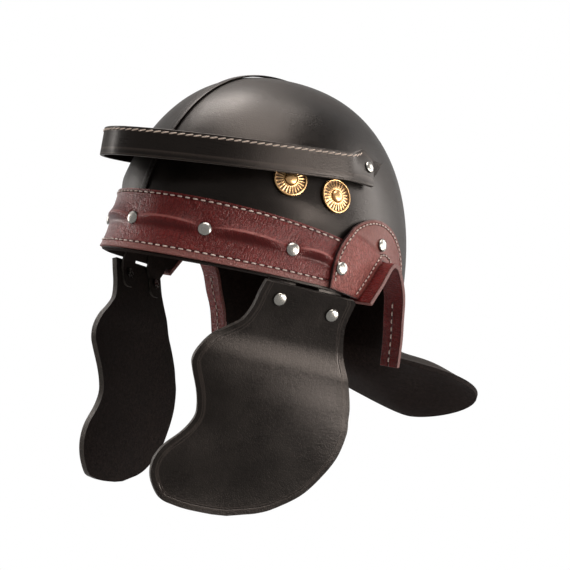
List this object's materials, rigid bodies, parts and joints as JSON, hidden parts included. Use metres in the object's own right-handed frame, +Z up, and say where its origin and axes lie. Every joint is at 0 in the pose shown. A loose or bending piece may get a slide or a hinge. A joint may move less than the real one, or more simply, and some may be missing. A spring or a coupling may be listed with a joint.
{
  "type": "centurion helmet",
  "caption": "Leather centurion helmet with a studded brow band, a raised brow guard, rosettes, ear flanges, a flared neck guard and two swinging cheek guards",
  "frame": {"origin": "on the bowl's upright axis at the height of the ears, where the wearer's head sits", "axes": "-Y is the front, +X is the wearer's left, +Z is up, as worn level"},
  "size_m": [0.2174, 0.3428, 0.2973],
  "materials": {
    "black_leather": "smooth, soft sheen",
    "black_suede": "rough flesh side",
    "oxblood_leather": "grained, soft sheen",
    "nickel": "polished, nickel plated",
    "brass": "antique"
  },
  "bodies": {
    "helmet": {"bowl_left": "black_leather", "bowl_right": "black_leather", "crown_seam_strip": "black_leather", "brow_band": "oxblood_leather", "brow_guard_band": "black_leather", "brow_guard_ledge": "black_suede", "neck_guard": "black_leather", "band_rivet_front": "nickel", "ear_flange_left": "oxblood_leather", "ear_piece_left": "oxblood_leather", "hinge_strap_upper_front_left": "black_suede", "hinge_strap_upper_back_left": "black_suede", "band_rivet_middle_left": "nickel", "band_rivet_side_left": "nickel", "ear_rivet_front_left": "nickel", "ear_rivet_back_left": "nickel", "guard_rivet_left": "nickel", "rosette_front_left": "brass", "rosette_back_left": "brass", "rosette_knob_front_left": "brass", "rosette_knob_back_left": "brass", "ear_flange_right": "oxblood_leather", "ear_piece_right": "oxblood_leather", "hinge_strap_upper_front_right": "black_suede", "hinge_strap_upper_back_right": "black_suede", "band_rivet_middle_right": "nickel", "band_rivet_side_right": "nickel", "ear_rivet_front_right": "nickel", "ear_rivet_back_right": "nickel", "guard_rivet_right": "nickel", "rosette_front_right": "brass", "rosette_back_right": "brass", "rosette_knob_front_right": "brass", "rosette_knob_back_right": "brass"},
    "left_guard": {"cheek_guard_left": "black_leather", "hinge_strap_lower_front_left": "black_suede", "hinge_strap_lower_back_left": "black_suede", "cheek_rivet_front_left": "nickel", "cheek_rivet_back_left": "nickel"},
    "right_guard": {"cheek_guard_right": "black_leather", "hinge_strap_lower_front_right": "black_suede", "hinge_strap_lower_back_right": "black_suede", "cheek_rivet_front_right": "nickel", "cheek_rivet_back_right": "nickel"}
  },
  "joints": [
    {"name": "left_cheek_guard", "type": "hinge", "parent": "helmet", "child": "left_guard", "pos_m": [0.08355, -0.03468, 0.00358], "axis": [-0.3482, -0.9363, 0.0454], "range_deg": [-10, 20]},
    {"name": "right_cheek_guard", "type": "hinge", "parent": "helmet", "child": "right_guard", "pos_m": [-0.08355, -0.03468, 0.00358], "axis": [-0.3482, 0.9363, -0.0454], "range_deg": [-10, 20]}
  ]
}
